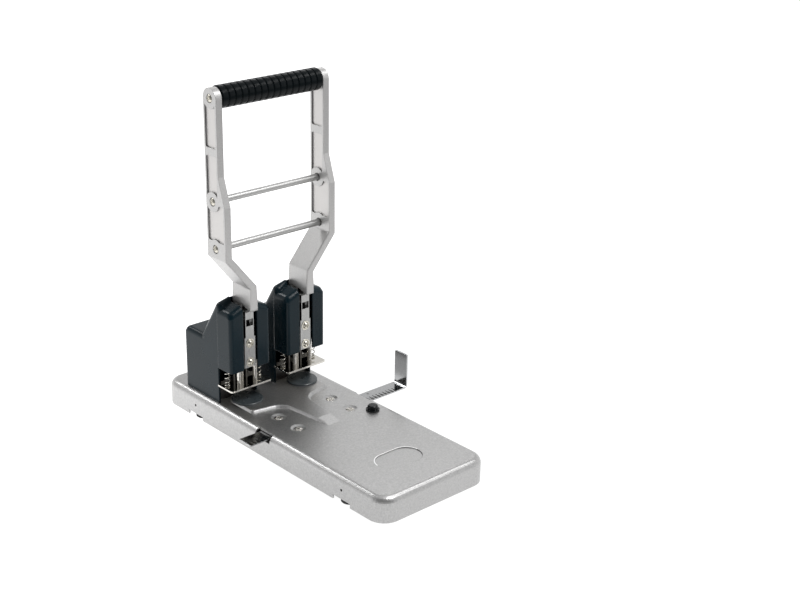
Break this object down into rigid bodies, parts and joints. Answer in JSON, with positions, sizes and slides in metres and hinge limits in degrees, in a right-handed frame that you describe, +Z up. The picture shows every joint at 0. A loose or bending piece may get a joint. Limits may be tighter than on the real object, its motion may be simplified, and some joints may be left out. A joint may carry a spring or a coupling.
{
  "type": "heavy duty hole punch",
  "caption": "Free-standing desk punch: an upright lever drives hollow cutters through a thick stack of paper against plastic discs; sliding side gauge with lock knob.",
  "frame": {"origin": "on the table, under the middle of the bounding box of the whole punch with its gauge; the middle of the base lies at X = -0.0155 m", "axes": "+X to the user's right along the paper edge, +Y from the user to the punching heads, +Z up"},
  "size_m": [0.2302, 0.384, 0.3986],
  "materials": {
    "deck_steel": "satin",
    "arm_alloy": "satin",
    "frame_steel": "satin",
    "bright_steel": "polished",
    "gauge_steel": "polished",
    "charcoal_plastic": "satin",
    "black_plastic": "satin",
    "black_rubber": "matte",
    "plunger_alloy": "satin"
  },
  "bodies": {
    "base": {"base_cover": "deck_steel", "base_floor": "frame_steel", "rubber_feet": "black_rubber", "deck_screws": "bright_steel", "gauge_guide": "frame_steel", "gauge_clamp": "frame_steel", "head_frame_left": "frame_steel", "head_frame_right": "frame_steel", "frame_screws_left": "bright_steel", "frame_screws_right": "bright_steel", "housing_left": "charcoal_plastic", "housing_right": "charcoal_plastic", "paper_backstop_left": "frame_steel", "paper_backstop_right": "frame_steel", "stripper_plate_left": "bright_steel", "stripper_plate_right": "bright_steel", "stripper_screws_left": "bright_steel", "stripper_screws_right": "bright_steel", "guide_posts_left": "bright_steel", "guide_posts_right": "bright_steel", "return_springs_left": "bright_steel", "return_springs_right": "bright_steel", "pivot_pin_left": "bright_steel", "pivot_pin_right": "bright_steel"},
    "lever": {"rod_upper": "bright_steel", "rod_lower": "bright_steel", "grip_core": "frame_steel", "grip_sleeve": "black_rubber", "arm_left": "arm_alloy", "drive_pin_left": "bright_steel", "arm_screws_left": "bright_steel", "arm_right": "arm_alloy", "drive_pin_right": "bright_steel", "arm_screws_right": "bright_steel"},
    "punch_left": {"plunger_left": "plunger_alloy", "cutter_left": "bright_steel", "clamp_screws_left": "bright_steel"},
    "punch_right": {"plunger_right": "plunger_alloy", "cutter_right": "bright_steel", "clamp_screws_right": "bright_steel"},
    "gauge": {"gauge_bar": "gauge_steel"},
    "knob": {"lock_knob": "black_plastic", "lock_stud": "frame_steel"},
    "disc_left": {"cutting_disc_left": "black_plastic"},
    "disc_right": {"cutting_disc_right": "black_plastic"}
  },
  "joints": [
    {"name": "lever_swing", "type": "hinge", "parent": "base", "child": "lever", "pos_m": [-0.0155, 0.09007, 0.128], "axis": [1, 0, 0], "range_deg": [0, 72], "stiffness_Nm_per_rad": 1.5, "springref_deg": -28.65},
    {"name": "punch_left", "type": "slide", "parent": "base", "child": "punch_left", "axis": [0, 0, -1], "range_m": [0, 0.0172], "deforming": ["return_springs_left"]},
    {"name": "punch_right", "type": "slide", "parent": "base", "child": "punch_right", "axis": [0, 0, -1], "range_m": [0, 0.0172], "deforming": ["return_springs_right"]},
    {"name": "gauge_slide", "type": "slide", "parent": "base", "child": "gauge", "axis": [1, 0, 0], "range_m": [-0.05, 0.022]},
    {"name": "knob_turn", "type": "hinge", "parent": "base", "child": "knob", "pos_m": [0.039, -0.032, 0.031], "axis": [0, 0, 1], "range_deg": [0, 90]},
    {"name": "disc_turn_left", "type": "hinge", "parent": "base", "child": "disc_left", "pos_m": [-0.0555, 0.0763, 0.034], "axis": [0, 0, 1], "continuous": true},
    {"name": "disc_turn_right", "type": "hinge", "parent": "base", "child": "disc_right", "pos_m": [0.0245, 0.0763, 0.034], "axis": [0, 0, 1], "continuous": true}
  ],
  "couplings": [
    {"joint": "punch_left", "follows": "lever_swing", "m_per_rad": 0.013528},
    {"joint": "punch_right", "follows": "lever_swing", "m_per_rad": 0.013528}
  ]
}
